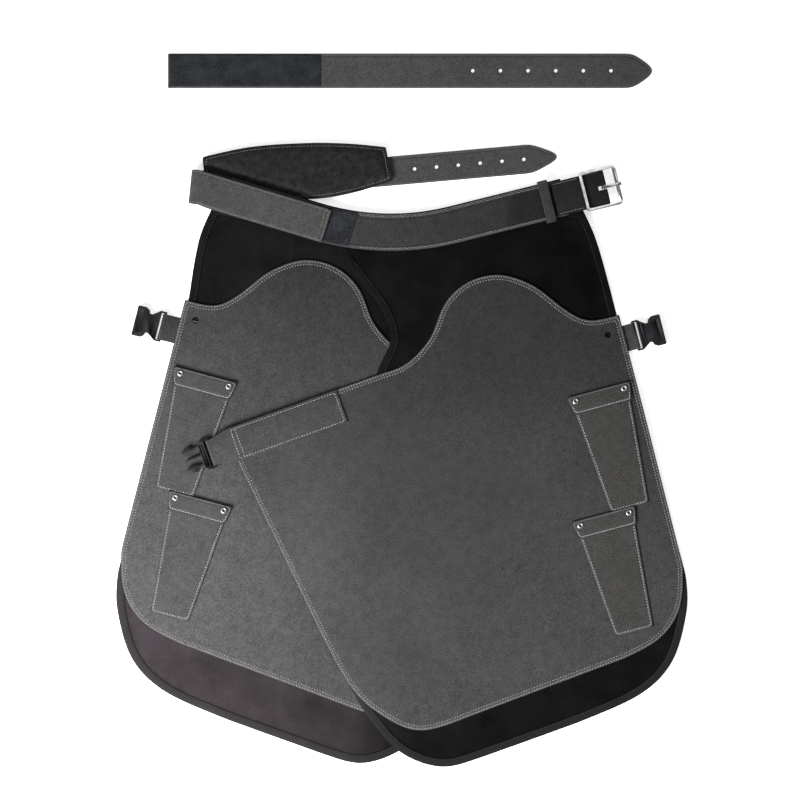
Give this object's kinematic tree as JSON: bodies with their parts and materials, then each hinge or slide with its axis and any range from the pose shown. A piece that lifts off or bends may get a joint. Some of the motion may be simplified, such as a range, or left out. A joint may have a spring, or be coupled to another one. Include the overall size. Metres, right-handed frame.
{
  "type": "welding apron",
  "caption": "Split-leg leather work apron laid flat, with a waist belt, centre-bar buckle, padded back strap, leg clips, tool pouches and a loose extension strap.",
  "frame": {"origin": "on the table side of the lining, in the middle of the laid-out apron and strap", "axes": "+Y from the hems to the belt, +Z out of the leather's face"},
  "size_m": [0.6286, 0.7844, 0.0174],
  "materials": {
    "grey_leather": "matt split leather, sueded grain",
    "black_leather": "matt smooth leather",
    "suede": "mottled suede",
    "lining_cloth": "plain weave flame-resistant cotton",
    "hook_loop": "hook and loop tape",
    "plastic": "moulded, fine texture",
    "steel": "nickel plated"
  },
  "bodies": {
    "apron": {"belt_backing": "lining_cloth", "belt_leather": "grey_leather", "buckle_chape": "black_leather", "belt_keeper": "grey_leather", "belt_loop_patch": "hook_loop", "back_strap_rear_run": "grey_leather", "lumbar_pad": "suede", "billet_strap": "grey_leather", "right_lining_top": "lining_cloth", "left_lining": "lining_cloth", "left_leather": "grey_leather", "left_upper_pouch": "grey_leather", "left_upper_pouch_band": "grey_leather", "left_upper_rivet_inner": "steel", "left_upper_rivet_outer": "steel", "left_lower_pouch": "grey_leather", "left_lower_pouch_band": "grey_leather", "left_lower_rivet_inner": "steel", "left_lower_rivet_outer": "steel", "left_tongue_strap": "grey_leather", "left_tongue_clip_insert": "plastic", "left_outer_tab": "grey_leather"},
    "right_leg": {"right_lining": "lining_cloth", "right_leather": "grey_leather", "right_upper_pouch": "grey_leather", "right_upper_pouch_band": "grey_leather", "right_upper_rivet_inner": "steel", "right_upper_rivet_outer": "steel", "right_lower_pouch": "grey_leather", "right_lower_pouch_band": "grey_leather", "right_lower_rivet_inner": "steel", "right_lower_rivet_outer": "steel", "right_tongue_strap": "grey_leather", "right_outer_tab": "grey_leather"},
    "right_insert": {"right_tongue_clip_insert": "plastic"},
    "right_receptacle": {"right_outer_clip_receptacle": "plastic"},
    "left_receptacle": {"left_outer_clip_receptacle": "plastic"},
    "front_run": {"back_strap_front_run": "grey_leather", "front_run_hook_patch": "hook_loop"},
    "buckle_frame": {"waist_buckle_frame": "steel"},
    "buckle_roller": {"waist_buckle_roller": "steel"},
    "buckle_prong": {"waist_buckle_prong": "steel"},
    "extension": {"extension_strap": "grey_leather", "extension_hook_patch": "hook_loop"}
  },
  "joints": [
    {"name": "right_leg_lift", "type": "hinge", "parent": "apron", "child": "right_leg", "pos_m": [0, 0.165, 0.0067], "axis": [-1, 0, 0], "range_deg": [0, 110]},
    {"name": "right_insert_swing", "type": "hinge", "parent": "right_leg", "child": "right_insert", "pos_m": [-0.2066, -0.04674, 0.00855], "axis": [-0.3371, 0.9415, 0], "range_deg": [0, 90]},
    {"name": "right_receptacle_swing", "type": "hinge", "parent": "right_leg", "child": "right_receptacle", "pos_m": [0.25854, 0.08134, 0.0036], "axis": [0.247, -0.969, 0], "range_deg": [0, 90]},
    {"name": "left_receptacle_swing", "type": "hinge", "parent": "apron", "child": "left_receptacle", "pos_m": [-0.26084, 0.09124, 0.0036], "axis": [0.247, 0.969, 0], "range_deg": [0, 90]},
    {"name": "front_run_peel", "type": "hinge", "parent": "apron", "child": "front_run", "pos_m": [-0.23026, 0.24458, 0.0077], "axis": [-0.1015, -0.9948, 0], "range_deg": [0, 170]},
    {"name": "buckle_swing", "type": "hinge", "parent": "apron", "child": "buckle_frame", "pos_m": [0.22341, 0.24383, 0.0102], "axis": [-0.2419, 0.9703, 0], "range_deg": [0, 45]},
    {"name": "roller_spin", "type": "hinge", "parent": "buckle_frame", "child": "buckle_roller", "pos_m": [0.23856, 0.24761, 0.00667], "axis": [-0.2419, 0.9703, 0], "continuous": true},
    {"name": "prong_swing", "type": "hinge", "parent": "buckle_frame", "child": "buckle_prong", "pos_m": [0.22341, 0.24383, 0.0102], "axis": [0.2419, -0.9703, 0], "range_deg": [0, 120]},
    {"name": "extension_slide", "type": "slide", "parent": "apron", "child": "extension", "axis": [0, 1, 0], "range_m": [0, 0.1]}
  ]
}
